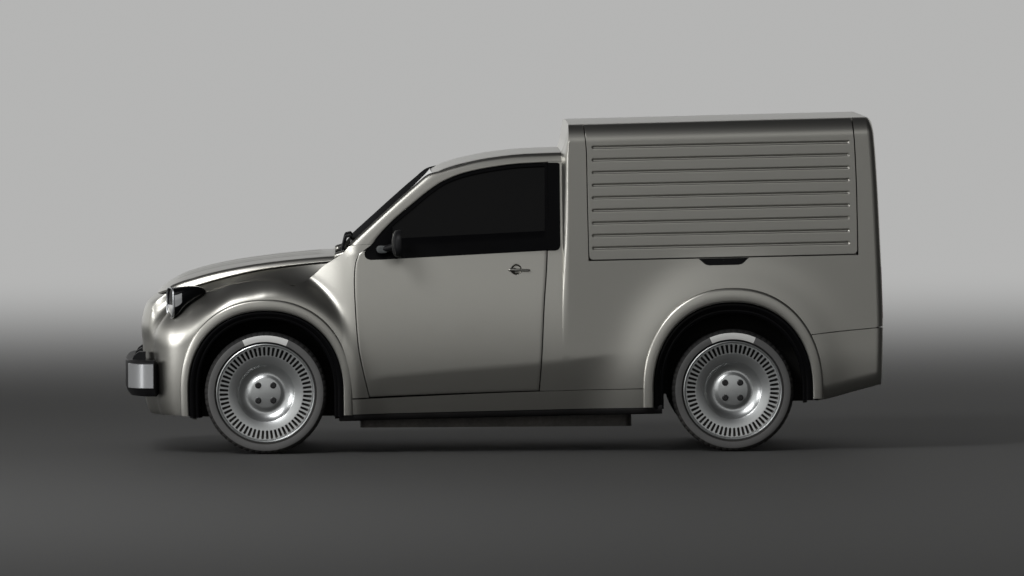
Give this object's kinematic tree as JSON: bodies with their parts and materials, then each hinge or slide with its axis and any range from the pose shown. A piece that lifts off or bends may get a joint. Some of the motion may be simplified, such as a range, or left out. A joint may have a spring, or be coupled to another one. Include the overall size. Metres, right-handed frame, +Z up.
{
  "type": "small panel van",
  "caption": "Small electric panel van with rounded front fenders, a low cab and a taller cargo box with ribbed top-hinged side hatches and barn rear doors.",
  "frame": {"origin": "on the ground, midway along and across the van", "axes": "the nose points to -X, the left side is -Y, +Z is up"},
  "size_m": [4.132, 2.156, 1.816],
  "materials": {
    "body_paint": "satin",
    "tinted_glass": "gloss",
    "black_plastic": "semi-gloss",
    "lamp_black": "gloss",
    "red_lens": "gloss",
    "dark_steel": "matt",
    "cast_grey": "rough cast",
    "cabin_plastic": "grained",
    "seat_cloth": "woven",
    "wheel_paint": "satin",
    "tyre_rubber": "matt"
  },
  "bodies": {
    "root": {"cab_shell": "body_paint", "cab_roof": "body_paint", "windshield": "tinted_glass", "headlamps": "lamp_black", "front_fender_left": "body_paint", "front_fender_right": "body_paint", "nose_panel": "body_paint", "front_bumper": "black_plastic", "cargo_side_left": "body_paint", "cargo_side_right": "body_paint", "bulkhead": "body_paint", "cargo_roof": "body_paint", "rear_bumper": "body_paint", "cargo_floor": "dark_steel", "tail_lamps": "red_lens", "lower_trim": "black_plastic", "battery_pack": "dark_steel", "front_frame": "dark_steel", "drive_unit": "cast_grey", "front_suspension": "cast_grey", "rear_axle": "dark_steel", "dashboard": "cabin_plastic", "steering_wheel": "cabin_plastic", "seats": "seat_cloth"},
    "cab_door_left": {"door_left": "body_paint", "window_left": "tinted_glass", "mirror_left": "black_plastic"},
    "cab_door_right": {"door_right": "body_paint", "window_right": "tinted_glass", "mirror_right": "black_plastic"},
    "side_hatch_left": {"hatch_left": "body_paint"},
    "side_hatch_right": {"hatch_right": "body_paint"},
    "back_door_left": {"rear_door_left": "body_paint"},
    "back_door_right": {"rear_door_right": "body_paint"},
    "hood_lid": {"hood": "body_paint"},
    "steer_left": {"knuckle_left": "cast_grey"},
    "steer_right": {"knuckle_right": "cast_grey"},
    "wheel_front_left": {"rim_front_left": "wheel_paint", "tyre_front_left": "tyre_rubber"},
    "wheel_front_right": {"rim_front_right": "wheel_paint", "tyre_front_right": "tyre_rubber"},
    "wheel_rear_left": {"rim_rear_left": "wheel_paint", "tyre_rear_left": "tyre_rubber"},
    "wheel_rear_right": {"rim_rear_right": "wheel_paint", "tyre_rear_right": "tyre_rubber"}
  },
  "joints": [
    {"name": "cab_door_left_hinge", "type": "hinge", "parent": "root", "child": "cab_door_left", "pos_m": [-0.805, -0.8665, 0.7], "axis": [0, 0, -1], "range_deg": [0, 65]},
    {"name": "cab_door_right_hinge", "type": "hinge", "parent": "root", "child": "cab_door_right", "pos_m": [-0.805, 0.8665, 0.7], "axis": [0, 0, 1], "range_deg": [0, 65]},
    {"name": "side_hatch_left_hinge", "type": "hinge", "parent": "root", "child": "side_hatch_left", "pos_m": [0.449, -0.79, 1.78396], "axis": [-0.9998, 0, -0.0204], "range_deg": [0, 85]},
    {"name": "side_hatch_right_hinge", "type": "hinge", "parent": "root", "child": "side_hatch_right", "pos_m": [0.449, 0.79, 1.78396], "axis": [0.9998, 0, 0.0204], "range_deg": [0, 85]},
    {"name": "back_door_left_hinge", "type": "hinge", "parent": "root", "child": "back_door_left", "pos_m": [2.067, -0.792, 0.69], "axis": [0, 0, -1], "range_deg": [0, 100]},
    {"name": "back_door_right_hinge", "type": "hinge", "parent": "root", "child": "back_door_right", "pos_m": [2.067, 0.792, 0.69], "axis": [0, 0, 1], "range_deg": [0, 100]},
    {"name": "hood_hinge", "type": "hinge", "parent": "root", "child": "hood_lid", "pos_m": [-0.908, 0, 1.069], "axis": [0, 1, 0], "range_deg": [0, 50]},
    {"name": "steering_left", "type": "hinge", "parent": "root", "child": "steer_left", "pos_m": [-1.293, -0.672, 0.332], "axis": [0, 0, 1], "range_deg": [-30, 30]},
    {"name": "steering_right", "type": "hinge", "parent": "root", "child": "steer_right", "pos_m": [-1.293, 0.672, 0.332], "axis": [0, 0, 1], "range_deg": [-30, 30]},
    {"name": "wheel_front_left_spin", "type": "hinge", "parent": "steer_left", "child": "wheel_front_left", "pos_m": [-1.293, -0.742, 0.332], "axis": [0, 1, 0], "continuous": true},
    {"name": "wheel_front_right_spin", "type": "hinge", "parent": "steer_right", "child": "wheel_front_right", "pos_m": [-1.293, 0.742, 0.332], "axis": [0, 1, 0], "continuous": true},
    {"name": "wheel_rear_left_spin", "type": "hinge", "parent": "root", "child": "wheel_rear_left", "pos_m": [1.247, -0.742, 0.332], "axis": [0, 1, 0], "continuous": true},
    {"name": "wheel_rear_right_spin", "type": "hinge", "parent": "root", "child": "wheel_rear_right", "pos_m": [1.247, 0.742, 0.332], "axis": [0, 1, 0], "continuous": true}
  ],
  "couplings": [
    {"joint": "steering_right", "follows": "steering_left", "ratio": 1}
  ]
}
